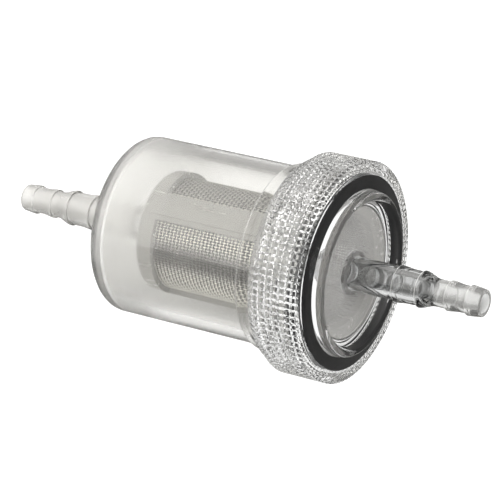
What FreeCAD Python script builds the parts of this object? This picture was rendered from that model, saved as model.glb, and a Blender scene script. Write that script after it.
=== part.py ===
import FreeCAD, Part
import math
import os

import Sketcher
from FreeCAD import Vector

# Inline fuel filter, millimetres. Every piece is round about the X axis: fuel enters the barb
# at the origin and leaves at the barb on the far end, along +X. The bowl is the fixed piece.
# The cap screws over the bowl's neck and clamps the strainer's flange under a flat seal.

DIMENSIONS = {
    # hose barbs: radii, then distances from each barb's open tip
    "bore_radius": 2.0,
    "inner_mouth_radius": 2.6,
    "tip_radius": 2.45,
    "tip_chamfer": 0.25,
    "small_neck_radius": 2.6,
    "small_ridge_radius": 2.9,
    "large_neck_radius": 3.3,
    "large_ridge_radius": 3.55,
    "ridge_land": 0.5,
    "ridge_cone": 2.4,
    "inlet_first_ridge": 3.0,
    "inlet_second_ridge": 7.4,
    "inlet_third_ridge": 11.8,
    "inlet_fourth_ridge": 17.0,
    "outlet_first_ridge": 3.0,
    "outlet_second_ridge": 7.2,
    "outlet_third_ridge": 13.0,
    "outlet_fourth_ridge": 17.9,
    # bowl
    "floor_position": 26.4,
    "wall": 2.0,
    "bowl_radius": 17.55,
    "bowl_corner": 2.2,
    "bowl_inner_corner": 1.2,
    "neck_step": 60.3,
    "step_round": 0.6,
    "neck_radius": 18.3,
    "mouth_position": 72.55,
    "seat_radius": 17.1,
    "seat_depth": 1.25,
    # screw thread between bowl and cap, right-hand, one start
    "thread_pitch": 1.5,
    "thread_turns": 4.4,
    "thread_start": 64.6,
    "thread_height": 0.7,
    "thread_root_half": 0.4,
    "thread_crest_half": 0.15,
    "thread_bury": 0.15,
    "thread_relief_radius": 19.25,
    # cap
    "skirt_end": 64.1,
    "skirt_end_radius": 19.9,
    "skirt_round": 2.0,
    "knurl_radius": 21.5,
    "knurl_depth": 0.55,
    "knurl_gap": 1.0,
    "knurl_count": 100,
    "front_edge": 75.8,
    "lip_position": 76.55,
    "lip_radius": 19.7,
    "rim_outer_radius": 16.0,
    "rim_inner_radius": 14.4,
    "rim_position": 77.7,
    "rim_round": 0.5,
    "dish_radius": 12.9,
    "dish_position": 75.2,
    "dish_inner_position": 73.2,
    "dish_inner_radius": 13.6,
    "collar_radius": 4.3,
    "collar_height": 0.7,
    "outlet_tip": 103.3,
    # seal
    "seal_inner_radius": 15.9,
    "seal_outer_radius": 18.9,
    "seal_back": 72.58,
    "seal_front": 74.52,
    "seal_round": 0.4,
    "seal_roof": 74.55,
    # strainer
    "cage_end": 34.0,
    "cage_radius": 12.0,
    "cage_inner_radius": 11.0,
    "cage_corner": 1.8,
    "cage_floor": 1.2,
    "window_start": 38.0,
    "window_end": 69.3,
    "window_angle": 93.0,
    "window_count": 3,
    "window_turn": 74.0,
    "flange_radius": 17.0,
    "flange_back": 71.33,
    "flange_front": 72.53,
    "mesh_radius": 10.97,
    "mesh_thickness": 0.22,
    "mesh_start": 36.5,
    "mesh_end": 70.8,
}

DOC = FreeCAD.newDocument("fuel_filter")


def fill_sheet():
    """Put the driving dimensions into a sheet, one named cell each."""
    sheet = DOC.addObject("Spreadsheet::Sheet", "dims")
    for row, (alias, value) in enumerate(DIMENSIONS.items(), start=1):
        sheet.set(f"A{row}", alias)
        sheet.set(f"B{row}", str(value))
        sheet.setAlias(f"B{row}", alias)
    DOC.recompute()
    return sheet


SHEET = fill_sheet()


def read(formula):
    """Value of a formula over the sheet's names, used as a first guess for a sketch."""
    names = {alias: float(SHEET.get(alias)) for alias in DIMENSIONS}
    for alias in sorted(names, key=len, reverse=True):
        formula = formula.replace(alias, repr(names[alias]))
    total = 0.0
    for term in formula.replace(" ", "").replace("-", "+-").replace("e+-", "e-").split("+"):
        if not term:
            continue
        sign = 1.0
        if term.startswith("-"):
            sign = -1.0
            term = term[1:]
        product = 1.0
        for factor in term.split("*"):
            product *= float(factor)
        total += sign * product
    return total


def bound(formula):
    """The same formula with every name pointing at the sheet."""
    words = formula.split(" ")
    return " ".join(f"dims.{word}" if word in DIMENSIONS else word for word in words)


def new_body(label):
    body = DOC.addObject("PartDesign::Body", label)
    body.Label = label
    return body


def plane_of(body, role):
    for feature in body.Origin.OriginFeatures:
        if feature.Role == role:
            return feature
    raise ValueError(role)


def outline(body, name, points, role="XY_Plane"):
    """Closed sketch of straight lines. Each corner is a pair of formulas over the sheet."""
    sketch = body.newObject("Sketcher::SketchObject", name)
    sketch.AttachmentSupport = (plane_of(body, role), [""])
    sketch.MapMode = "FlatFace"
    corners = [Vector(read(first), read(second), 0) for first, second in points]
    count = len(corners)
    for index in range(count):
        sketch.addGeometry(Part.LineSegment(corners[index], corners[(index + 1) % count]))
    for index in range(count):
        joint = Sketcher.Constraint("Coincident", index, 2, (index + 1) % count, 1)
        sketch.addConstraint(joint)
    for index, (first, second) in enumerate(points):
        pin_corner(sketch, index, "DistanceX", first, corners[index].x)
        pin_corner(sketch, index, "DistanceY", second, corners[index].y)
    return sketch


def pin_corner(sketch, index, direction, formula, value):
    """Tie one coordinate of a corner to the sheet, or to the axis where it is zero."""
    if abs(value) < 1e-9:
        axis = -2 if direction == "DistanceX" else -1
        sketch.addConstraint(Sketcher.Constraint("PointOnObject", index, 1, axis))
        return
    row = sketch.addConstraint(Sketcher.Constraint(direction, -1, 1, index, 1, value))
    sketch.setExpression(f"Constraints[{row}]", bound(formula))


def revolve(body, name, points):
    """Solid of revolution about the X axis."""
    turned = body.newObject("PartDesign::Revolution", name)
    turned.Profile = outline(body, name + "_outline", points)
    turned.ReferenceAxis = (turned.Profile[0], ["H_Axis"])
    turned.Angle = 360.0
    DOC.recompute()
    return turned


def round_edges(body, name, places, radius_alias):
    """Fillet the round edges at the given (position, radius) places."""
    base = body.Tip
    found = []
    for position, radius in places:
        for index, edge in enumerate(base.Shape.Edges, start=1):
            curve = edge.Curve
            if not isinstance(curve, Part.Circle):
                continue
            on_place = abs(curve.Center.x - read(position)) < 1e-4
            if on_place and abs(curve.Radius - read(radius)) < 1e-4:
                found.append(f"Edge{index}")
    if len(found) != len(places):
        raise ValueError(f"{name}: {len(found)} edges for {len(places)} places")
    fillet = body.newObject("PartDesign::Fillet", name)
    fillet.Base = (base, found)
    fillet.setExpression("Radius", bound(radius_alias))
    body.Tip = fillet
    DOC.recompute()
    return fillet


def barb(tip, inward, ridges, neck):
    """Outer corners of a stepped hose barb, from its open tip to its root.

    inward is the sign that leads from the tip into the filter, ridges are the names of the
    four ridges' distances, and neck is the name of the last ridge's neck radius.
    """
    def at(formula):
        return f"{tip} {inward} {formula}"

    first, second, third, fourth = ridges
    return [
        (tip, "bore_radius"),
        (tip, "tip_radius"),
        (at("tip_chamfer"), "small_neck_radius"),
        (at(f"{first} {flip(inward)} ridge_land"), "small_ridge_radius"),
        (at(first), "small_ridge_radius"),
        (at(first), "small_neck_radius"),
        (at(f"{second} {flip(inward)} ridge_cone"), "small_neck_radius"),
        (at(f"{second} {flip(inward)} ridge_land"), "small_ridge_radius"),
        (at(second), "small_ridge_radius"),
        (at(second), "small_neck_radius"),
        (at(f"{third} {flip(inward)} ridge_cone {flip(inward)} ridge_land"), "small_neck_radius"),
        (at(f"{third} {flip(inward)} ridge_land"), "large_ridge_radius"),
        (at(third), "large_ridge_radius"),
        (at(third), neck),
        (at(f"{fourth} {flip(inward)} ridge_cone"), neck),
        (at(f"{fourth} {flip(inward)} ridge_land"), "large_ridge_radius"),
        (at(fourth), "large_ridge_radius"),
        (at(fourth), neck),
    ]


def flip(sign):
    return "-" if sign == "+" else "+"


def thread(body, name, position, root_radius, outward):
    """One helical ridge, trapezoid in section, standing on a round wall.

    outward is "+" for a ridge that points away from the axis and "-" for one towards it.
    """
    buried = f"{root_radius} {flip(outward)} thread_bury"
    crest = f"{root_radius} {outward} thread_height"
    section = [
        (f"{position} - thread_root_half", buried),
        (f"{position} + thread_root_half", buried),
        (f"{position} + thread_crest_half", crest),
        (f"{position} - thread_crest_half", crest),
    ]
    ridge = body.newObject("PartDesign::AdditiveHelix", name)
    ridge.Profile = outline(body, name + "_section", section)
    ridge.ReferenceAxis = (ridge.Profile[0], ["H_Axis"])
    ridge.Mode = "pitch-turns-angle"
    ridge.setExpression("Pitch", "dims.thread_pitch")
    ridge.setExpression("Turns", "dims.thread_turns")
    DOC.recompute()
    body.Tip = ridge
    DOC.recompute()
    return ridge


def make_bowl():
    """Moulded cup with the inlet barb on its floor and an external thread on its neck."""
    body = new_body("bowl")
    ridges = ["inlet_first_ridge", "inlet_second_ridge", "inlet_third_ridge", "inlet_fourth_ridge"]
    points = barb("0", "+", ridges, "large_neck_radius")
    points += [
        ("floor_position", "large_neck_radius"),
        ("floor_position", "bowl_radius"),
        ("neck_step", "bowl_radius"),
        ("neck_step", "neck_radius"),
        ("mouth_position", "neck_radius"),
        ("mouth_position", "seat_radius"),
        ("mouth_position - seat_depth", "seat_radius"),
        ("mouth_position - seat_depth", "bowl_radius - wall"),
        ("floor_position + wall", "bowl_radius - wall"),
        ("floor_position + wall", "inner_mouth_radius"),
        ("floor_position", "inner_mouth_radius"),
        ("floor_position", "bore_radius"),
    ]
    revolve(body, "cup", points)
    round_edges(body, "floor_corner", [("floor_position", "bowl_radius")], "bowl_corner")
    inner = [("floor_position + wall", "bowl_radius - wall")]
    round_edges(body, "inner_corner", inner, "bowl_inner_corner")
    round_edges(body, "neck_corner", [("neck_step", "neck_radius")], "step_round")
    thread(body, "neck_thread", "thread_start", "neck_radius", "+")
    return body


def make_cap():
    """Clear screw cap: knurled skirt, lip over the seal, raised rim, dish and outlet barb."""
    body = new_body("cap")
    ridges = ["outlet_first_ridge", "outlet_second_ridge"]
    ridges += ["outlet_third_ridge", "outlet_fourth_ridge"]
    points = barb("outlet_tip", "-", ridges, "large_neck_radius")
    points += [
        ("dish_position + collar_height", "large_neck_radius"),
        ("dish_position + collar_height", "collar_radius"),
        ("dish_position", "collar_radius"),
        ("dish_position", "dish_radius"),
        ("rim_position", "rim_inner_radius"),
        ("rim_position", "rim_outer_radius"),
        ("lip_position", "rim_outer_radius"),
        ("lip_position", "lip_radius"),
        ("front_edge", "knurl_radius"),
        ("skirt_end + skirt_round", "knurl_radius"),
        ("skirt_end", "skirt_end_radius"),
        ("skirt_end", "thread_relief_radius"),
        ("seal_roof", "thread_relief_radius"),
        ("seal_roof", "dish_inner_radius"),
        ("dish_inner_position", "dish_inner_radius"),
        ("dish_inner_position", "inner_mouth_radius"),
        ("dish_position", "inner_mouth_radius"),
        ("dish_position", "bore_radius"),
    ]
    revolve(body, "turned_cap", points)
    rims = [("rim_position", "rim_inner_radius"), ("rim_position", "rim_outer_radius")]
    round_edges(body, "rim_corners", rims, "rim_round")
    knurl(body)
    position = "thread_start + 0.5 * thread_pitch"
    thread(body, "skirt_thread", position, "thread_relief_radius", "-")
    return body


def knurl(body):
    """Axial splines on the skirt: one V groove cut through, repeated round the axis."""
    groove = body.newObject("PartDesign::Pocket", "spline_groove")
    points = [
        ("0.5 * knurl_gap", "knurl_radius + knurl_depth"),
        ("0 - 0.5 * knurl_gap", "knurl_radius + knurl_depth"),
        ("0 - 0.5 * knurl_gap", "knurl_radius"),
        ("0", "knurl_radius - knurl_depth"),
        ("0.5 * knurl_gap", "knurl_radius"),
    ]
    groove.Profile = outline(body, "groove_section", points, "YZ_Plane")
    groove.Type = "ThroughAll"
    groove.Reversed = True
    DOC.recompute()
    pattern = body.newObject("PartDesign::PolarPattern", "splines")
    pattern.Originals = [groove]
    pattern.Axis = (groove.Profile[0], ["N_Axis"])
    pattern.Angle = 360.0
    pattern.setExpression("Occurrences", "dims.knurl_count")
    body.Tip = pattern
    DOC.recompute()


def make_seal():
    """Flat black rubber ring with rounded edges, clamped under the cap's lip."""
    body = new_body("seal_ring")
    points = [
        ("seal_back", "seal_inner_radius"),
        ("seal_front", "seal_inner_radius"),
        ("seal_front", "seal_outer_radius"),
        ("seal_back", "seal_outer_radius"),
    ]
    revolve(body, "ring", points)
    round_edges(body, "ring_edges", points, "seal_round")
    return body


def make_cage():
    """Moulded strainer frame: closed end, three long windows, open end with a flange."""
    body = new_body("strainer_cage")
    points = [
        ("cage_end", "0"),
        ("cage_end", "cage_radius"),
        ("flange_back", "cage_radius"),
        ("flange_back", "flange_radius"),
        ("flange_front", "flange_radius"),
        ("flange_front", "cage_inner_radius"),
        ("cage_end + cage_floor", "cage_inner_radius"),
        ("cage_end + cage_floor", "0"),
    ]
    revolve(body, "barrel", points)
    round_edges(body, "closed_end", [("cage_end", "cage_radius")], "cage_corner")
    window = body.newObject("PartDesign::Groove", "window")
    points = [
        ("window_start", "cage_inner_radius - 1.0"),
        ("window_end", "cage_inner_radius - 1.0"),
        ("window_end", "cage_radius + 1.0"),
        ("window_start", "cage_radius + 1.0"),
    ]
    window.Profile = outline(body, "window_outline", points)
    window.ReferenceAxis = (window.Profile[0], ["H_Axis"])
    window.Midplane = True
    window.setExpression("Angle", "dims.window_angle")
    DOC.recompute()
    windows = body.newObject("PartDesign::PolarPattern", "windows")
    windows.Originals = [window]
    windows.Axis = (window.Profile[0], ["H_Axis"])
    windows.Angle = 360.0
    windows.setExpression("Occurrences", "dims.window_count")
    body.Tip = windows
    turn = float(SHEET.get("window_turn"))
    body.Placement = FreeCAD.Placement(Vector(0, 0, 0), FreeCAD.Rotation(Vector(1, 0, 0), turn))
    body.setExpression("Placement.Rotation.Angle", "dims.window_turn")
    DOC.recompute()
    return body


def make_mesh():
    """Rolled sleeve of woven wire inside the strainer frame, as a thin tube."""
    body = new_body("strainer_mesh")
    points = [
        ("mesh_start", "mesh_radius - mesh_thickness"),
        ("mesh_end", "mesh_radius - mesh_thickness"),
        ("mesh_end", "mesh_radius"),
        ("mesh_start", "mesh_radius"),
    ]
    revolve(body, "sleeve", points)
    return body


def check_and_write(bodies):
    """Refuse a failed feature or a broken solid, then write one file for each piece."""
    DOC.recompute()
    failed = [item.Name for item in DOC.Objects if {"Invalid", "Error"} & set(item.State)]
    if failed:
        raise RuntimeError(f"failed features: {failed}")
    os.makedirs("parts", exist_ok=True)
    for body in bodies:
        shape = body.Shape
        if shape.isNull() or not shape.isValid() or len(shape.Solids) != 1:
            raise RuntimeError(f"{body.Label} is not one valid solid")
        shape.exportStep(f"parts/{body.Label}.step")
        print(f"{body.Label}: {shape.Volume:.1f} mm3, {len(shape.Faces)} faces")


check_and_write([make_bowl(), make_cap(), make_seal(), make_cage(), make_mesh()])
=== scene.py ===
import math

import bmesh
import bpy
from mathutils import Matrix, Vector


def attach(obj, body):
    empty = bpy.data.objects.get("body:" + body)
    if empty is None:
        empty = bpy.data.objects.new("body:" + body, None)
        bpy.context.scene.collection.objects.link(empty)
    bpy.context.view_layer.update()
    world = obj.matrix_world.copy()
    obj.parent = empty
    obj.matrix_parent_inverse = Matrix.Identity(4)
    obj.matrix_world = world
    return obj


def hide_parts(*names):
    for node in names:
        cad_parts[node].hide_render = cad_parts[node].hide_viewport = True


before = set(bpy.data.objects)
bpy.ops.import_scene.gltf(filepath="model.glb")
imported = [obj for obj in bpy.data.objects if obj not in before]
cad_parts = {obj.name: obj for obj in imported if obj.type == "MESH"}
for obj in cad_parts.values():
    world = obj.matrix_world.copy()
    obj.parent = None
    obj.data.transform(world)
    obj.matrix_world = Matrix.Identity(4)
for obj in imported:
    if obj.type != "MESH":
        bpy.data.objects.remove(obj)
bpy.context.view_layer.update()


# ---------------------------------------------------------------- studio
# A plain pale floor well below the filter, which hangs level as it does in its hoses. One
# soft box stands above and one towards the cap's end, under a soft sky, and a long lens
# looks down at the filter from its side and a little from the cap's end.
MM = 0.001
FLOOR_DROP = 0.12
FLOOR_REACH = 3.0
SHADE_CENTRE = (0.01, 0.2, -0.12)
SHADE_INNER = 0.05
SHADE_OUTER = 0.16
GLOW = 0.9
CAMERA_TURN = math.radians(31.48)
CAMERA_RISE = math.radians(22.42)
CAMERA_AIM = 75.8
CAMERA_DISTANCE = 0.5094
CAMERA_ASIDE = 0.01976
CAMERA_LIFT = 0.00438
LENS = 194.4
FILTER_MIDDLE = (0.05, 0, 0)
SKY_TOWARDS = (-0.25, -0.7, 0.67)
SKY_EDGE = -0.1
SKY_LOW = 0.42
SKY_HIGH = 2.0
LIGHT_BOUNCES = 24


def finished(name, mesh, sharp_angle):
    """Turn a bmesh into a named object, smooth but for edges sharper than sharp_angle."""
    data = bpy.data.meshes.new(name)
    bmesh.ops.remove_doubles(mesh, verts=mesh.verts, dist=1e-7)
    bmesh.ops.recalc_face_normals(mesh, faces=mesh.faces)
    mesh.to_mesh(data)
    mesh.free()
    data.shade_smooth()
    if sharp_angle:
        data.set_sharp_from_angle(angle=math.radians(sharp_angle))
    piece = bpy.data.objects.new(name, data)
    bpy.context.scene.collection.objects.link(piece)
    return piece


def make_floor():
    """Floor that glows white to the camera and dimmer through the plastic, a painted glow.

    It is dimmest in a painted shade patch behind the filter, so that the edges of clear walls show.
    """
    mesh = bmesh.new()
    bmesh.ops.create_grid(mesh, x_segments=8, y_segments=8, size=FLOOR_REACH)
    bmesh.ops.translate(mesh, verts=mesh.verts, vec=(0, 0, -FLOOR_DROP))
    floor = finished("floor", mesh, 0)
    floor_glow = bpy.data.materials.new("floor_glow_and_shade_patch")
    floor_glow.use_nodes = True
    nodes, links = floor_glow.node_tree.nodes, floor_glow.node_tree.links
    shader = nodes["Principled BSDF"]
    shader.inputs["Base Color"].default_value = (0.13, 0.13, 0.127, 1)
    shader.inputs["Roughness"].default_value = 0.9
    shader.inputs["Emission Color"].default_value = (1, 1, 1, 1)
    place = nodes.new("ShaderNodeTexCoord")
    away = nodes.new("ShaderNodeVectorMath")
    away.operation = "DISTANCE"
    away.inputs[1].default_value = SHADE_CENTRE
    glow = nodes.new("ShaderNodeMapRange")
    glow.interpolation_type = "SMOOTHSTEP"
    glow.inputs["From Min"].default_value = SHADE_INNER
    glow.inputs["From Max"].default_value = SHADE_OUTER
    glow.inputs["To Max"].default_value = GLOW
    path = nodes.new("ShaderNodeLightPath")
    through = nodes.new("ShaderNodeMath")
    through.operation = "MULTIPLY_ADD"
    links.new(place.outputs["Object"], away.inputs[0])
    links.new(away.outputs["Value"], glow.inputs["Value"])
    links.new(glow.outputs["Result"], through.inputs[1])
    links.new(path.outputs["Is Transmission Ray"], through.inputs[0])
    links.new(path.outputs["Is Camera Ray"], through.inputs[2])
    # Painted glow: emission is white to camera rays, and rays through the plastic see it dimmed in a
    # painted shade patch.
    links.new(through.outputs["Value"], shader.inputs["Emission Strength"])
    floor.data.materials.append(floor_glow)


def make_camera():
    right = Vector((math.cos(CAMERA_TURN), math.sin(CAMERA_TURN), 0))
    back = Vector((math.sin(CAMERA_TURN) * math.cos(CAMERA_RISE),
                   -math.cos(CAMERA_TURN) * math.cos(CAMERA_RISE),
                   math.sin(CAMERA_RISE)))
    up = back.cross(right)
    aim = Vector((CAMERA_AIM * MM, 0, 0))
    place = aim - CAMERA_ASIDE * right + CAMERA_LIFT * up + CAMERA_DISTANCE * back
    data = bpy.data.cameras.new("camera")
    data.lens = LENS
    data.sensor_width = 36
    data.clip_start = 0.01
    camera = bpy.data.objects.new("camera", data)
    camera.matrix_world = Matrix.Translation(place) @ Matrix((right, up, back)).transposed().to_4x4()
    bpy.context.scene.collection.objects.link(camera)
    bpy.context.scene.camera = camera


def soft_box(name, place, size, power):
    """Rectangular area light aimed at the middle of the filter."""
    data = bpy.data.lights.new(name, "AREA")
    data.shape = "RECTANGLE"
    data.size, data.size_y = size
    data.energy = power
    light = bpy.data.objects.new(name, data)
    light.location = place
    aim = Vector(FILTER_MIDDLE) - Vector(place)
    light.rotation_euler = aim.to_track_quat("-Z", "Y").to_euler()
    light.visible_glossy = False
    light.visible_transmission = False
    bpy.context.scene.collection.objects.link(light)


def make_sky():
    """Soft dome, brightest high on the camera's side and dim behind the filter."""
    world = bpy.data.worlds.new("studio")
    world.use_nodes = True
    nodes, links = world.node_tree.nodes, world.node_tree.links
    place = nodes.new("ShaderNodeTexCoord")
    facing = nodes.new("ShaderNodeVectorMath")
    facing.operation = "DOT_PRODUCT"
    facing.inputs[1].default_value = Vector(SKY_TOWARDS).normalized()
    glow = nodes.new("ShaderNodeMapRange")
    glow.interpolation_type = "SMOOTHSTEP"
    glow.inputs["From Min"].default_value = SKY_EDGE
    glow.inputs["To Min"].default_value = SKY_LOW
    glow.inputs["To Max"].default_value = SKY_HIGH
    links.new(place.outputs["Generated"], facing.inputs[0])
    links.new(facing.outputs["Value"], glow.inputs["Value"])
    links.new(glow.outputs["Result"], nodes["Background"].inputs["Strength"])
    nodes["Background"].inputs["Color"].default_value = (1.0, 0.99, 0.965, 1)
    bpy.context.scene.world = world


def make_lights():
    """Both soft boxes, the sky, and enough bounces to see through wall behind wall."""
    soft_box("light_above", (-0.1, -0.3, 0.85), (0.9, 0.9), 4)
    soft_box("light_at_cap", (0.95, -0.35, 0.35), (0.5, 0.5), 6)
    make_sky()
    scene = bpy.context.scene
    scene.view_settings.view_transform = "Standard"
    scene.cycles.max_bounces = LIGHT_BOUNCES
    scene.cycles.transmission_bounces = LIGHT_BOUNCES
    scene.cycles.transparent_max_bounces = LIGHT_BOUNCES


make_floor()
make_camera()
make_lights()


# ---------------------------------------------------------------- bowl
# Cup injection-moulded in translucent plastic, with the inlet barb standing on its floor and
# the external thread round its mouth. The wall is nearly clear at its middle, grows milky
# towards the floor, and is milky again at the neck and in the thick barb. The rounded corner
# at the floor is tinted darker, a painted shade, and a milky ring on the neck step is a
# painted highlight.
INLET_RIDGES = (3.0, 7.4, 11.8, 17.0)
RIDGE_CONE = 2.4
RIDGE_LAND = 0.5
TIP_WAIST = 2.6
TIP_RIDGE = 2.9
STEM_WAIST = 3.1
STEM = 3.3
HOSE_RIDGE = 3.55
BORE = 2.0
INNER_MOUTH = 2.6
BOWL_FLOOR = 26.4
INSIDE_FLOOR = BOWL_FLOOR + 2.0
BOWL_RADIUS = 17.55
BOWL_INNER = 15.55
NECK_STEP = 60.3
NECK_RADIUS = 18.3
OUTER_WALL = (BOWL_FLOOR + 2.6, NECK_STEP - 0.4)
MOUTH = 72.55
SEAT = MOUTH - 1.25
SEAT_RADIUS = 17.1
INNER_WALL = (SEAT - 0.6, BOWL_FLOOR + 3.7)
THREAD_PITCH = 1.5
THREAD_TURNS = 4.4
THREAD_START = 64.6
THREAD_FOOT = THREAD_START - 0.6
THREAD_HEIGHT = 0.7
THREAD_ROOT_HALF = 0.4
THREAD_CREST_HALF = 0.15
THREAD_ROWS = 26
WALL_ROWS = 13
FINE_ROUNDING = 0.15
BROAD_ROUNDING = 0.6
WEDGES = 10


def barb(tip, inward, ridges):
    """Corners (position, radius, rounding) of a stepped barb from its tip to its root.

    The two small ridges guide the hose on, and the two large ones hold it.
    """
    first, second, third, fourth = (tip + inward * ridge for ridge in ridges)
    cone = RIDGE_CONE * inward
    land = RIDGE_LAND * inward
    return [
        (tip, BORE, 0.2),
        (tip, TIP_WAIST, 0.3),
        (first - land, TIP_RIDGE, 0.3),
        (first, TIP_RIDGE, 0.08),
        (first, TIP_WAIST, 0.1),
        (second - cone, TIP_WAIST, 0.5),
        (second - land, TIP_RIDGE, 0.3),
        (second, TIP_RIDGE, 0.08),
        (second, TIP_WAIST, 0.1),
        (third - cone - land, TIP_WAIST, 0.6),
        (third - land, HOSE_RIDGE, 0.5),
        (third, HOSE_RIDGE, 0.06),
        (third, STEM_WAIST, 0.1),
        (third + 2 * land, STEM, 0.3),
        (fourth - cone, STEM, 0.5),
        (fourth - land, HOSE_RIDGE, 0.3),
        (fourth, HOSE_RIDGE, 0.06),
        (fourth, STEM_WAIST, 0.1),
        (fourth + 2 * land, STEM, 0.3),
    ]


def turned(corners, steps, rows=None):
    """Solid of revolution about the X axis from rounded corners, in millimetres.

    rows gives the number of cuts for each edge that is divided, by its first corner. One
    wedge is spun first and the whole from that, which keeps every wedge the same.
    """
    mesh = bmesh.new()
    verts = [mesh.verts.new((place * MM, radius * MM, 0)) for place, radius, _ in corners]
    edges = [mesh.edges.new((verts[i], verts[(i + 1) % len(verts)])) for i in range(len(verts))]
    for first, cuts in (rows or {}).items():
        bmesh.ops.subdivide_edges(mesh, edges=[edges[corners.index(first)]], cuts=cuts)
    for place, radius, rounding in corners:
        if not rounding:
            continue
        corner = Vector((place * MM, radius * MM, 0))
        vert = min(mesh.verts, key=lambda item: (item.co - corner).length)
        segments = 2 if rounding < FINE_ROUNDING else 3 if rounding < BROAD_ROUNDING else 5
        bmesh.ops.bevel(mesh, geom=[vert], offset=rounding * MM, offset_type="OFFSET",
                        segments=segments, profile=0.5, affect="VERTICES", material=-1)
    outline = mesh.verts[:] + mesh.edges[:]
    bmesh.ops.spin(mesh, geom=outline, cent=(0, 0, 0), axis=(1, 0, 0), dvec=(0, 0, 0),
                   angle=math.tau / WEDGES, steps=steps // WEDGES, use_merge=False,
                   use_duplicate=False)
    wedge = mesh.verts[:] + mesh.edges[:] + mesh.faces[:]
    bmesh.ops.spin(mesh, geom=wedge, cent=(0, 0, 0), axis=(1, 0, 0), dvec=(0, 0, 0),
                   angle=math.tau * (WEDGES - 1) / WEDGES, steps=WEDGES - 1,
                   use_merge=False, use_duplicate=True)
    bmesh.ops.remove_doubles(mesh, verts=mesh.verts, dist=1e-6)
    return mesh


def cut_thread(mesh, start, wall, outward):
    """Raise one right-hand helical ridge on the round wall of the given radius."""
    end = start + THREAD_PITCH * THREAD_TURNS
    for vert in mesh.verts:
        place = vert.co.x / MM
        radius = vert.co.yz.length / MM
        if abs(radius - wall) > 0.001:
            continue
        angle = math.atan2(vert.co.z, vert.co.y)
        turn = (place - start) / THREAD_PITCH - angle / math.tau
        centre = start + THREAD_PITCH * (round(turn) + angle / math.tau)
        if not start - 0.01 <= centre <= end:
            continue
        aside = abs(place - centre)
        slope = (THREAD_ROOT_HALF - aside) / (THREAD_ROOT_HALF - THREAD_CREST_HALF)
        lift = THREAD_HEIGHT * min(max(slope, 0.0), 1.0)
        if lift:
            scale = (wall + outward * lift) / radius
            vert.co.y *= scale
            vert.co.z *= scale


def make_bowl():
    """Long walls end in corners with no rounding, which keep their shading straight."""
    outer_rows = (OUTER_WALL[0], BOWL_RADIUS, 0)
    neck_rows = (THREAD_FOOT, NECK_RADIUS, 0)
    inner_rows = (INNER_WALL[0], BOWL_INNER, 0)
    corners = barb(0, 1, INLET_RIDGES) + [
        (BOWL_FLOOR, STEM, 0.5),
        (BOWL_FLOOR, BOWL_RADIUS, 2.2),
        outer_rows,
        (OUTER_WALL[1], BOWL_RADIUS, 0),
        (NECK_STEP, BOWL_RADIUS, 0.15),
        (NECK_STEP, NECK_RADIUS, 0.5),
        neck_rows,
        (MOUTH - 0.3, NECK_RADIUS, 0),
        (MOUTH, NECK_RADIUS, 0.2),
        (MOUTH, SEAT_RADIUS, 0.15),
        (SEAT, SEAT_RADIUS, 0),
        (SEAT, BOWL_INNER, 0.2),
        inner_rows,
        (INNER_WALL[1], BOWL_INNER, 0),
        (INSIDE_FLOOR, BOWL_INNER, 1.3),
        (INSIDE_FLOOR, INNER_MOUTH, 0.2),
        (BOWL_FLOOR, INNER_MOUTH, 0),
        (BOWL_FLOOR, BORE, 0.1),
    ]
    rows = {neck_rows: THREAD_ROWS, outer_rows: WALL_ROWS, inner_rows: WALL_ROWS}
    mesh = turned(corners, 250, rows)
    cut_thread(mesh, THREAD_START, NECK_RADIUS, 1)
    bowl = finished("bowl_moulding", mesh, 35)
    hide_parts("bowl")
    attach(bowl, "bowl")
    return bowl


def moulded_skin():
    """Node group for moulded plastic: slow ripples, fine haze and faint scuffs."""
    group = bpy.data.node_groups.new("moulded_skin", "ShaderNodeTree")
    face = group.interface
    for name, value in (("Ripple Scale", 90.0), ("Haze Scale", 700.0), ("Scuff", 0.3)):
        socket = face.new_socket(name, in_out="INPUT", socket_type="NodeSocketFloat")
        socket.default_value = value
    for name in ("Height", "Haze", "Scratches"):
        face.new_socket(name, in_out="OUTPUT", socket_type="NodeSocketFloat")
    nodes, links = group.nodes, group.links
    inside = nodes.new("NodeGroupInput")
    outside = nodes.new("NodeGroupOutput")
    place = nodes.new("ShaderNodeTexCoord")
    ripple = nodes.new("ShaderNodeTexNoise")
    ripple.inputs["Detail"].default_value = 2
    haze = nodes.new("ShaderNodeTexNoise")
    haze.inputs["Detail"].default_value = 4
    streak = nodes.new("ShaderNodeMapping")
    streak.inputs["Scale"].default_value = (60, 900, 900)
    scuff = nodes.new("ShaderNodeTexNoise")
    scuff.inputs["Scale"].default_value = 1
    scuff.inputs["Detail"].default_value = 3
    keep = nodes.new("ShaderNodeMapRange")
    keep.inputs["From Min"].default_value = 0.62
    keep.inputs["From Max"].default_value = 0.75
    amount = nodes.new("ShaderNodeMath")
    amount.operation = "MULTIPLY"
    links.new(place.outputs["Object"], ripple.inputs["Vector"])
    links.new(place.outputs["Object"], haze.inputs["Vector"])
    links.new(place.outputs["Object"], streak.inputs["Vector"])
    links.new(streak.outputs["Vector"], scuff.inputs["Vector"])
    links.new(inside.outputs["Ripple Scale"], ripple.inputs["Scale"])
    links.new(inside.outputs["Haze Scale"], haze.inputs["Scale"])
    links.new(scuff.outputs["Fac"], keep.inputs["Value"])
    links.new(keep.outputs["Result"], amount.inputs[0])
    links.new(inside.outputs["Scuff"], amount.inputs[1])
    links.new(ripple.outputs["Fac"], outside.inputs["Height"])
    links.new(haze.outputs["Fac"], outside.inputs["Haze"])
    links.new(amount.outputs["Value"], outside.inputs["Scratches"])
    return group


SKIN = moulded_skin()


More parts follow.
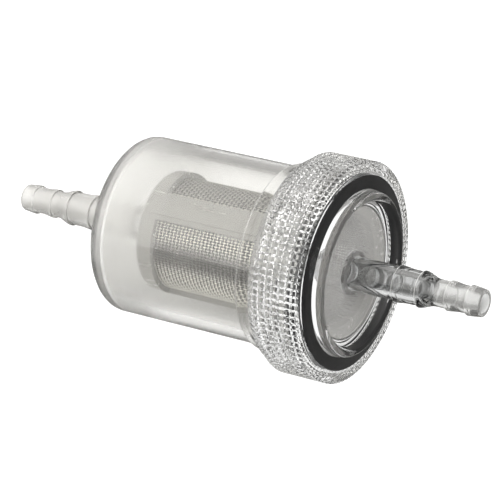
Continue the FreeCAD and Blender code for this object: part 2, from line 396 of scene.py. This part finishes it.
def plastic(name, tint_low, tint_high, rough, see_through, ior, ripple, bump, scuff):
    """Moulded plastic whose tint, gloss and surface wander a little."""
    material = bpy.data.materials.new(name)
    material.use_nodes = True
    nodes, links = material.node_tree.nodes, material.node_tree.links
    shader = nodes["Principled BSDF"]
    shader.inputs["Transmission Weight"].default_value = see_through
    shader.inputs["IOR"].default_value = ior
    skin = nodes.new("ShaderNodeGroup")
    skin.node_tree = SKIN
    skin.inputs["Ripple Scale"].default_value = ripple
    skin.inputs["Scuff"].default_value = scuff
    tint = nodes.new("ShaderNodeMix")
    tint.data_type = "RGBA"
    tint.inputs["A"].default_value = (*tint_low, 1)
    tint.inputs["B"].default_value = (*tint_high, 1)
    gloss = nodes.new("ShaderNodeMapRange")
    gloss.inputs["To Min"].default_value = rough[0]
    gloss.inputs["To Max"].default_value = rough[1]
    worn = nodes.new("ShaderNodeMath")
    worn.operation = "ADD"
    relief = nodes.new("ShaderNodeBump")
    relief.inputs["Strength"].default_value = 1.0
    relief.inputs["Distance"].default_value = bump
    links.new(skin.outputs["Height"], tint.inputs["Factor"])
    links.new(tint.outputs["Result"], shader.inputs["Base Color"])
    links.new(skin.outputs["Haze"], gloss.inputs["Value"])
    links.new(gloss.outputs["Result"], worn.inputs[0])
    links.new(skin.outputs["Scratches"], worn.inputs[1])
    links.new(worn.outputs["Value"], shader.inputs["Roughness"])
    links.new(skin.outputs["Height"], relief.inputs["Height"])
    links.new(relief.outputs["Normal"], shader.inputs["Normal"])
    return material


MILKY_LOW = (0.93, 0.925, 0.905)
MILKY_HIGH = (0.97, 0.965, 0.95)
CLEAREST_WALL = 0.94
FROST_RING = 3
FROST_STEPS = 4
FROST_STEP = 0.03
FOG_START = BOWL_FLOOR + 8
FOG_END = BOWL_FLOOR + 16
FOG_ROUGHNESS = 0.16


def frosted(step):
    """Wall plastic for one ring of the bowl: each step nearer the floor is milkier.

    Its gloss also fades smoothly into a fog from FOG_END down to FOG_START.
    """
    material = plastic(f"frosted_wall_{step}", MILKY_LOW, MILKY_HIGH, (0.03, 0.06),
                       see_through=CLEAREST_WALL - step * FROST_STEP, ior=1.49, ripple=60,
                       bump=0.000005, scuff=0.03)
    nodes, links = material.node_tree.nodes, material.node_tree.links
    shader = nodes["Principled BSDF"]
    place = nodes.new("ShaderNodeTexCoord")
    along = nodes.new("ShaderNodeSeparateXYZ")
    fog = nodes.new("ShaderNodeMapRange")
    fog.interpolation_type = "SMOOTHSTEP"
    fog.inputs["From Min"].default_value = FOG_START * MM
    fog.inputs["From Max"].default_value = FOG_END * MM
    fog.inputs["To Min"].default_value = 1
    fog.inputs["To Max"].default_value = 0
    blur = nodes.new("ShaderNodeMath")
    blur.operation = "MULTIPLY_ADD"
    blur.inputs[1].default_value = FOG_ROUGHNESS
    links.new(place.outputs["Object"], along.inputs["Vector"])
    links.new(along.outputs["X"], fog.inputs["Value"])
    links.new(fog.outputs["Result"], blur.inputs[0])
    links.new(shader.inputs["Roughness"].links[0].from_socket, blur.inputs[2])
    links.new(blur.outputs["Value"], shader.inputs["Roughness"])
    return material


def dress(piece, skins, skin_at):
    """Give each face the plastic that skin_at(position, radius) names, in millimetres."""
    for skin in skins:
        piece.data.materials.append(skin)
    for face in piece.data.polygons:
        skin = skin_at(face.center.x / MM, face.center.yz.length / MM)
        face.material_index = skins.index(skin)


THICK_FROSTED = plastic("thick_frosted_plastic", (0.76, 0.755, 0.735), (0.84, 0.835, 0.82),
                        (0.12, 0.2), see_through=0.7, ior=1.49, ripple=60, bump=0.00001,
                        scuff=0.03)
# Painted shade: the floor corner is tinted darker so that its rim shows as a dark line.
CORNER_SHADE = plastic("corner_painted_shade_plastic", (0.58, 0.58, 0.57), (0.7, 0.7, 0.69),
                      (0.03, 0.06), see_through=0.95, ior=1.49, ripple=60, bump=0.000005,
                      scuff=0.03)
MILKY_ENDS = plastic("milky_ends_plastic", MILKY_LOW, MILKY_HIGH, (0.18, 0.26),
                     see_through=0.76, ior=1.49, ripple=60, bump=0.000005, scuff=0.03)
WALLS = [frosted(step) for step in range(FROST_STEPS + 1)]
BARB_ROOT = BOWL_FLOOR - 0.4
DISC_TOP = BOWL_FLOOR + 3.3
DISC_RADIUS = BOWL_INNER - 0.02
CORNER_TOP = BOWL_FLOOR + 2.2
CORNER_INNER = BOWL_RADIUS - 1.6
# Painted highlight: a milky ring on the neck step, which shows as a light arc.
HIGHLIGHT_STEP_START = NECK_STEP - 0.1
HIGHLIGHT_STEP_END = NECK_STEP + 0.6
HIGHLIGHT_STEP_INNER = 17.0


def bowl_skin(place, radius):
    """Plastic for the bowl's barb, floor, painted-shade corner, painted-highlight step, neck or
    wall.
    """
    if place < BARB_ROOT:
        return THICK_FROSTED
    if place < DISC_TOP and radius < DISC_RADIUS:
        return MILKY_ENDS
    # Painted shade on the rounded corner at the floor.
    if place < CORNER_TOP and radius > CORNER_INNER:
        return CORNER_SHADE
    # Painted highlight: the neck step is milky so that it shows a light arc.
    if HIGHLIGHT_STEP_START < place < HIGHLIGHT_STEP_END and radius > HIGHLIGHT_STEP_INNER:
        return MILKY_ENDS
    if place > THREAD_FOOT:
        return MILKY_ENDS
    if place < BOWL_FLOOR + FROST_RING * (FROST_STEPS + 1):
        step = FROST_STEPS + 1 - int((place - BOWL_FLOOR) / FROST_RING)
        return WALLS[min(max(step, 1), FROST_STEPS)]
    return WALLS[0]


dress(make_bowl(), [WALLS[0], THICK_FROSTED, MILKY_ENDS, CORNER_SHADE, *WALLS[1:]], bowl_skin)


# ---------------------------------------------------------------- cap
# Water-clear screw cap with the outlet barb in one moulding. A knurled skirt carries the
# internal thread, a flat lip covers the seal, and a raised rim surrounds a shallow dish. The
# barb's root is tinted darker, a painted shade, its tip is scuffed, and its ridge edges are
# pale, a painted highlight.
OUTLET_TIP = 103.3
OUTLET_RIDGES = (3.0, 7.2, 13.0, 17.9)
COLLAR_FRONT = 75.9
COLLAR_RADIUS = 4.3
DISH_FRONT = 75.2
DISH_RADIUS = 12.9
DISH_BACK = 73.2
DISH_BACK_RADIUS = 13.6
RIM_FRONT = 77.7
RIM_INNER = 14.4
RIM_OUTER = 16.0
LIP_FRONT = 76.55
LIP_RADIUS = 19.7
SEAL_ROOF = 74.55
SKIRT_WALL = 19.25
SKIRT_WALL_TOP = 72.5
SKIRT_END = 64.1
SKIRT_END_RADIUS = 19.9
SKIRT_BACK = 66.1
SKIRT_FRONT = 75.8
SPLINE_COUNT = 100
SPLINE_CREST = 21.5
SPLINE_DEPTH = 0.55
RING_DEPTH = 0.4
RING_COUNT = 7
PAD_STEPS = 5
END_RIBS_TOP = 64.6
END_RIBS_INNER = SKIRT_WALL + 0.3
END_RIBS_DEPTH = 0.3


def groove(turns):
    """Depth share of a V groove centred on every whole turn, one step of a pad wide."""
    aside = abs(turns - round(turns)) * PAD_STEPS
    return max(0.0, 1.0 - aside)


def cut_knurl(mesh):
    """Press axial and ring grooves into the skirt, leaving rows of flat square pads.

    The axial grooves also run down the skirt's end, as shallow ribs.
    """
    pitch = (SKIRT_FRONT - SKIRT_BACK) / RING_COUNT
    for vert in mesh.verts:
        radius = vert.co.yz.length / MM
        spline = groove(SPLINE_COUNT * math.atan2(vert.co.z, vert.co.y) / math.tau)
        ring = groove((vert.co.x / MM - SKIRT_BACK) / pitch)
        limit = SPLINE_CREST - max(SPLINE_DEPTH * spline, RING_DEPTH * ring)
        if vert.co.x < END_RIBS_TOP * MM and radius > END_RIBS_INNER:
            limit = radius - END_RIBS_DEPTH * spline
        if radius > limit:
            vert.co.y *= limit / radius
            vert.co.z *= limit / radius


def make_cap():
    knurl_rows = (SKIRT_FRONT, SPLINE_CREST, 0)
    thread_rows = (THREAD_START + 0.1, SKIRT_WALL, 0)
    corners = barb(OUTLET_TIP, -1, OUTLET_RIDGES) + [
        (COLLAR_FRONT, STEM, 0.1),
        (COLLAR_FRONT, COLLAR_RADIUS, 0.2),
        (DISH_FRONT, COLLAR_RADIUS, 0.15),
        (DISH_FRONT, DISH_RADIUS, 0.4),
        (RIM_FRONT, RIM_INNER, 0.5),
        (RIM_FRONT, RIM_OUTER, 0.6),
        (LIP_FRONT, RIM_OUTER, 0.1),
        (LIP_FRONT, LIP_RADIUS, 0.5),
        knurl_rows,
        (SKIRT_BACK, SPLINE_CREST, 0),
        (SKIRT_END, SKIRT_END_RADIUS, 0.3),
        (SKIRT_END, SKIRT_WALL, 0.1),
        thread_rows,
        (SKIRT_WALL_TOP, SKIRT_WALL, 0),
        (SEAL_ROOF, SKIRT_WALL, 0.2),
        (SEAL_ROOF, DISH_BACK_RADIUS, 0.3),
        (DISH_BACK, DISH_BACK_RADIUS, 0.4),
        (DISH_BACK, INNER_MOUTH, 0.2),
        (DISH_FRONT, INNER_MOUTH, 0),
        (DISH_FRONT, BORE, 0.1),
    ]
    rows = {thread_rows: THREAD_ROWS, knurl_rows: RING_COUNT * PAD_STEPS - 1}
    mesh = turned(corners, SPLINE_COUNT * PAD_STEPS, rows)
    cut_thread(mesh, THREAD_START + 0.5 * THREAD_PITCH, SKIRT_WALL, -1)
    cut_knurl(mesh)
    cap = finished("cap_moulding", mesh, 40)
    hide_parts("cap")
    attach(cap, "cap")
    return cap


CLEAR_LOW = (0.97, 0.975, 0.975)
CLEAR_HIGH = (0.99, 0.99, 0.99)
CLEAR = plastic("clear_plastic", CLEAR_LOW, CLEAR_HIGH, (0.01, 0.03),
                see_through=1.0, ior=1.52, ripple=120, bump=0.00001, scuff=0.02)
KNURLED = plastic("knurled_plastic", CLEAR_LOW, CLEAR_HIGH, (0.01, 0.03),
                  see_through=0.95, ior=1.52, ripple=120, bump=0.00001, scuff=0.02)
HAZY = plastic("hazy_plastic", (0.9, 0.895, 0.88), (0.96, 0.955, 0.94), (0.02, 0.05),
               see_through=0.76, ior=1.52, ripple=120, bump=0.00001, scuff=0.02)
SCUFFED = plastic("scuffed_plastic", (0.8, 0.8, 0.79), (0.88, 0.88, 0.87), (0.08, 0.14),
                  see_through=0.86, ior=1.52, ripple=200, bump=0.00002, scuff=0.05)
# Painted shade: the barb's root and bore are tinted darker.
SHADED_BARB = plastic("barb_painted_shade_plastic", (0.6, 0.605, 0.605), (0.74, 0.745, 0.745), (0.02, 0.05),
                 see_through=1.0, ior=1.52, ripple=120, bump=0.00001, scuff=0.02)
# Painted highlight: pale, rough, less clear plastic on the barb's ridge edges.
RIDGE_HIGHLIGHT = plastic("ridge_painted_highlight_plastic", (0.93, 0.93, 0.92), (0.98, 0.98, 0.97), (0.25, 0.4),
                    see_through=0.35, ior=1.52, ripple=200, bump=0.00002, scuff=0.05)
RIDGE_HIGHLIGHT_REACH = 0.12
RIDGE_HIGHLIGHT_INNER = 2.5
SCUFFS_START = 94.3
SHADED_BARB_RADIUS = COLLAR_RADIUS + 0.1
KNURL_INNER = 19.9
KNURL_HAZE_END = 72.9


def cap_skin(place, radius):
    """Plastic for the cap's dish, ridges (painted highlight), barb tip, barb root (painted shade),
    knurl, or clear.
    """
    from_ridge = min(abs(OUTLET_TIP - place - ridge) for ridge in OUTLET_RIDGES)
    if radius < DISH_RADIUS and DISH_BACK - 0.2 < place < DISH_FRONT + 0.1:
        return HAZY
    # Painted highlight on the faces next to each ridge.
    if radius > RIDGE_HIGHLIGHT_INNER and from_ridge < RIDGE_HIGHLIGHT_REACH:
        return RIDGE_HIGHLIGHT
    if place > SCUFFS_START:
        return SCUFFED
    # Painted shade on the barb's root, collar and bore.
    if radius < SHADED_BARB_RADIUS:
        return SHADED_BARB
    if radius > KNURL_INNER and place < KNURL_HAZE_END:
        return KNURLED
    return CLEAR


dress(make_cap(), [CLEAR, HAZY, SHADED_BARB, SCUFFED, KNURLED, RIDGE_HIGHLIGHT], cap_skin)


# ---------------------------------------------------------------- seal ring
# Flat ring cut from black nitrile rubber with softened edges. The cap's lip presses it on
# the strainer's flange and the bowl's rim, and it looks wet where it meets the plastic.
SEAL_BACK = 72.58
SEAL_FRONT = 74.57
SEAL_INNER = 15.9
SEAL_OUTER = 18.9


def make_seal():
    corners = [
        (SEAL_BACK, SEAL_INNER, 0.3),
        (SEAL_FRONT, SEAL_INNER, 0.2),
        (SEAL_FRONT, SEAL_OUTER, 0.2),
        (SEAL_BACK, SEAL_OUTER, 0.3),
    ]
    seal = finished("rubber_seal", turned(corners, 190), 0)
    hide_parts("seal_ring")
    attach(seal, "strainer")
    return seal


RUBBER = plastic("black_rubber", (0.008, 0.008, 0.009), (0.018, 0.018, 0.02), (0.22, 0.38),
                 see_through=0.0, ior=1.15, ripple=400, bump=0.00003, scuff=0.1)
make_seal().data.materials.append(RUBBER)


# ---------------------------------------------------------------- strainer cage
# Milky moulded frame: a closed end, three long ribs with a low step along them, and an
# open end whose flange drops into the seat in the bowl's mouth.
CAGE_END = 34.0
CAGE_FLOOR = CAGE_END + 1.2
CAGE_RADIUS = 12.0
CAGE_INNER = 11.0
PINHOLE = 0.6
WINDOW_START = 38.0
WINDOW_END = 69.3
WINDOW_ANGLE = math.radians(93)
WINDOW_TURN = math.radians(74)
RIB_COUNT = 3
RIB_STEP = 0.35
RIB_STEP_START = CAGE_END + 2.2
RIB_STEP_ANGLE = math.radians(10)
RIB_STEP_ASIDE = math.radians(4)
FLANGE_BACK = 71.33
FLANGE_FRONT = 72.53
FLANGE_RADIUS = 17.0


def sector(start, end, inner, outer, middle, angle, steps):
    """Closed block swept round the X axis, centred on the angle middle."""
    mesh = bmesh.new()
    places = [(start, inner), (end, inner), (end, outer), (start, outer)]
    face = mesh.faces.new([mesh.verts.new((x * MM, r * MM, 0)) for x, r in places])
    spun = mesh.verts[:] + mesh.edges[:] + [face]
    bmesh.ops.spin(mesh, geom=spun, cent=(0, 0, 0), axis=(1, 0, 0), dvec=(0, 0, 0),
                   angle=angle, steps=steps, use_merge=False, use_duplicate=False)
    bmesh.ops.rotate(mesh, verts=mesh.verts, cent=(0, 0, 0),
                     matrix=Matrix.Rotation(middle - angle / 2, 3, "X"))
    return mesh


def combine(piece, block, operation):
    """Cut a block from a piece or join it on, and keep the result as plain mesh."""
    tool = finished("block", block, 30)
    modifier = piece.modifiers.new("boolean", "BOOLEAN")
    modifier.operation = operation
    modifier.object = tool
    modifier.solver = "EXACT"
    bpy.context.view_layer.update()
    result = bpy.data.meshes.new_from_object(
        piece.evaluated_get(bpy.context.evaluated_depsgraph_get()))
    piece.modifiers.clear()
    piece.data = result
    bpy.data.objects.remove(tool)


def make_cage():
    """The outline stops PINHOLE short of the axis, which leaves a tiny hole in the end."""
    corners = [
        (CAGE_END, PINHOLE, 0),
        (CAGE_END, CAGE_RADIUS, 1.8),
        (FLANGE_BACK, CAGE_RADIUS, 0.3),
        (FLANGE_BACK, FLANGE_RADIUS, 0.15),
        (FLANGE_FRONT, FLANGE_RADIUS, 0.15),
        (FLANGE_FRONT, CAGE_INNER, 0.3),
        (CAGE_FLOOR, CAGE_INNER, 0.6),
        (CAGE_FLOOR, PINHOLE, 0),
    ]
    cage = finished("strainer_frame", turned(corners, 180), 30)
    for index in range(RIB_COUNT):
        middle = WINDOW_TURN + index * math.tau / RIB_COUNT
        window = sector(WINDOW_START, WINDOW_END, CAGE_INNER - 1, CAGE_RADIUS + 1, middle,
                        WINDOW_ANGLE, 48)
        combine(cage, window, "DIFFERENCE")
    for index in range(RIB_COUNT):
        middle = WINDOW_TURN + (index + 0.5) * math.tau / RIB_COUNT + RIB_STEP_ASIDE
        step = sector(RIB_STEP_START, FLANGE_BACK - 0.1, CAGE_RADIUS - 0.4,
                      CAGE_RADIUS + RIB_STEP, middle, RIB_STEP_ANGLE, 8)
        combine(cage, step, "UNION")
    cage.data.shade_smooth()
    cage.data.set_sharp_from_angle(angle=math.radians(35))
    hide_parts("strainer_cage")
    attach(cage, "strainer")
    return cage


MILKY = plastic("milky_plastic", (0.66, 0.65, 0.61), (0.74, 0.73, 0.7), (0.2, 0.3),
                see_through=0.55, ior=1.5, ripple=150, bump=0.00004, scuff=0.1)
make_cage().data.materials.append(MILKY)


# ---------------------------------------------------------------- strainer mesh
# Sleeve rolled from plain-weave stainless wire cloth, with its ends and edges moulded into
# the frame. Lengthwise wires stand 0.53 mm apart round it and round wires 0.8 mm apart along
# it, each passing over one and under the next. The wires carry painted shade: a dark band
# along both sides at the height of the axis, and darker inner sides towards the crossings.
WIRE_PITCH = 0.8
WIRE_RADIUS = 0.165
WAVE = 0.155
SLEEVE_RADIUS = 10.7
SLEEVE_START = 36.5
SLEEVE_END = 70.1
LENGTHWISE_COUNT = 128
# Painted shade on the wires' inner sides fades out between these radii.
WIRE_SHADE_START = SLEEVE_RADIUS + 0.02
WIRE_SHADE_END = SLEEVE_RADIUS + 0.22
# Painted shade on the wires: a dark band at the axis height, a darker top and a slightly darker
# foot.
SHADE_BAND_FOOT = 0.8
SHADE_BAND_TOP = 0.4
SHADE_BAND_STOPS = ((0.33, 1.0), (0.47, 0.16), (0.53, 0.16), (0.67, 1.0), (0.9, 0.9))


def wire(points, closed):
    """Square-section wire through points in millimetres, as a bmesh in metres."""
    curve = bpy.data.curves.new("wire", "CURVE")
    curve.dimensions = "3D"
    curve.bevel_depth = WIRE_RADIUS * MM
    curve.bevel_resolution = 0
    curve.use_fill_caps = not closed
    spline = curve.splines.new("POLY")
    spline.points.add(len(points) - 1)
    for point, place in zip(spline.points, points):
        point.co = (*(value * MM for value in place), 1)
    spline.use_cyclic_u = closed
    holder = bpy.data.objects.new("wire", curve)
    mesh = bmesh.new()
    mesh.from_mesh(bpy.data.meshes.new_from_object(holder))
    bpy.data.objects.remove(holder)
    return mesh


def make_lengthwise_wires():
    count = round((SLEEVE_END - SLEEVE_START) / WIRE_PITCH * 2)
    points = []
    for index in range(count + 1):
        lift = WAVE * math.cos(index * math.pi / 2)
        points.append((SLEEVE_START + index * WIRE_PITCH / 2, SLEEVE_RADIUS + lift, 0))
    mesh = wire(points, False)
    even = mesh.verts[:] + mesh.edges[:] + mesh.faces[:]
    odd = bmesh.ops.duplicate(mesh, geom=even)["geom"]
    odd_verts = [item for item in odd if isinstance(item, bmesh.types.BMVert)]
    bmesh.ops.translate(mesh, verts=odd_verts, vec=(WIRE_PITCH * MM, 0, 0))
    bmesh.ops.rotate(mesh, verts=odd_verts, cent=(0, 0, 0),
                     matrix=Matrix.Rotation(math.tau / LENGTHWISE_COUNT, 3, "X"))
    pair = mesh.verts[:] + mesh.edges[:] + mesh.faces[:]
    pairs = LENGTHWISE_COUNT // 2
    bmesh.ops.spin(mesh, geom=pair, cent=(0, 0, 0), axis=(1, 0, 0), dvec=(0, 0, 0),
                   angle=math.tau * (pairs - 1) / pairs, steps=pairs - 1,
                   use_merge=False, use_duplicate=True)
    return finished("lengthwise_wires", mesh, 0)


def make_round_wires():
    points = []
    for index in range(LENGTHWISE_COUNT * 2):
        angle = index * math.pi / LENGTHWISE_COUNT
        radius = SLEEVE_RADIUS - WAVE * math.cos(index * math.pi / 2)
        points.append((SLEEVE_START, radius * math.cos(angle), radius * math.sin(angle)))
    mesh = wire(points, True)
    ring = mesh.verts[:] + mesh.edges[:] + mesh.faces[:]
    for index in range(1, round((SLEEVE_END - SLEEVE_START) / WIRE_PITCH)):
        copy = bmesh.ops.duplicate(mesh, geom=ring)["geom"]
        verts = [item for item in copy if isinstance(item, bmesh.types.BMVert)]
        bmesh.ops.translate(mesh, verts=verts, vec=(index * WIRE_PITCH * MM, 0, 0))
        if index % 2:
            bmesh.ops.rotate(mesh, verts=verts, cent=(0, 0, 0),
                             matrix=Matrix.Rotation(math.tau / LENGTHWISE_COUNT, 3, "X"))
    return finished("round_wires", mesh, 0)


def steel_wire():
    """Stainless wire, bright on its outer crests and dark towards the crossings, a painted shade
    broken into random patches.

    A painted shade band runs along both sides of the sleeve at the height of its axis. The top
    of the sleeve is painted darker too, and the foot a little.
    """
    material = bpy.data.materials.new("steel_wire")
    material.use_nodes = True
    nodes, links = material.node_tree.nodes, material.node_tree.links
    shader = nodes["Principled BSDF"]
    shader.inputs["Metallic"].default_value = 1.0
    place = nodes.new("ShaderNodeTexCoord")
    flat = nodes.new("ShaderNodeVectorMath")
    flat.operation = "MULTIPLY"
    flat.inputs[1].default_value = (0, 1, 1)
    radius = nodes.new("ShaderNodeVectorMath")
    radius.operation = "LENGTH"
    # Painted shade: the inner sides of the wires, towards the crossings, are tinted dark.
    proud = nodes.new("ShaderNodeMapRange")
    proud.inputs["From Min"].default_value = WIRE_SHADE_START * MM
    proud.inputs["From Max"].default_value = WIRE_SHADE_END * MM
    stain = nodes.new("ShaderNodeTexNoise")
    stain.inputs["Scale"].default_value = 260
    stain.inputs["Detail"].default_value = 4
    patchy = nodes.new("ShaderNodeMapRange")
    patchy.inputs["To Min"].default_value = 0.7
    patchy.inputs["To Max"].default_value = 1.3
    inner_shade_patchy = nodes.new("ShaderNodeMath")
    inner_shade_patchy.operation = "MULTIPLY"
    inner_shade_patchy.use_clamp = True
    height = nodes.new("ShaderNodeSeparateXYZ")
    level = nodes.new("ShaderNodeMapRange")
    level.inputs["From Min"].default_value = -SLEEVE_RADIUS * MM
    level.inputs["From Max"].default_value = SLEEVE_RADIUS * MM
    # Painted shade band at the axis height, with the top of the sleeve darker and the foot a little
    # darker.
    shade_band = nodes.new("ShaderNodeValToRGB")
    shade_band.color_ramp.interpolation = "EASE"
    shade_band.color_ramp.elements[0].color = (SHADE_BAND_FOOT, SHADE_BAND_FOOT, SHADE_BAND_FOOT, 1)
    shade_band.color_ramp.elements[1].color = (SHADE_BAND_TOP, SHADE_BAND_TOP, SHADE_BAND_TOP, 1)
    for stop, share in SHADE_BAND_STOPS:
        shade_band.color_ramp.elements.new(stop).color = (share, share, share, 1)
    shade_and_patches = nodes.new("ShaderNodeMath")
    shade_and_patches.operation = "MULTIPLY"
    tint = nodes.new("ShaderNodeMix")
    tint.data_type = "RGBA"
    tint.inputs["A"].default_value = (0.07, 0.065, 0.055, 1)
    tint.inputs["B"].default_value = (0.97, 0.95, 0.88, 1)
    gloss = nodes.new("ShaderNodeMapRange")
    gloss.inputs["To Min"].default_value = 0.5
    gloss.inputs["To Max"].default_value = 0.25
    links.new(place.outputs["Object"], flat.inputs[0])
    links.new(flat.outputs["Vector"], radius.inputs[0])
    links.new(radius.outputs["Value"], proud.inputs["Value"])
    links.new(place.outputs["Object"], stain.inputs["Vector"])
    links.new(stain.outputs["Fac"], patchy.inputs["Value"])
    links.new(proud.outputs["Result"], inner_shade_patchy.inputs[0])
    links.new(patchy.outputs["Result"], inner_shade_patchy.inputs[1])
    links.new(place.outputs["Object"], height.inputs["Vector"])
    links.new(height.outputs["Z"], level.inputs["Value"])
    links.new(level.outputs["Result"], shade_band.inputs["Fac"])
    links.new(inner_shade_patchy.outputs["Value"], shade_and_patches.inputs[0])
    links.new(shade_band.outputs["Color"], shade_and_patches.inputs[1])
    links.new(shade_and_patches.outputs["Value"], tint.inputs["Factor"])
    links.new(tint.outputs["Result"], shader.inputs["Base Color"])
    links.new(shade_and_patches.outputs["Value"], gloss.inputs["Value"])
    links.new(gloss.outputs["Result"], shader.inputs["Roughness"])
    return material


WIRE = steel_wire()
for sleeve in (make_lengthwise_wires(), make_round_wires()):
    sleeve.data.materials.append(WIRE)
    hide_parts("strainer_mesh")
    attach(sleeve, "strainer")
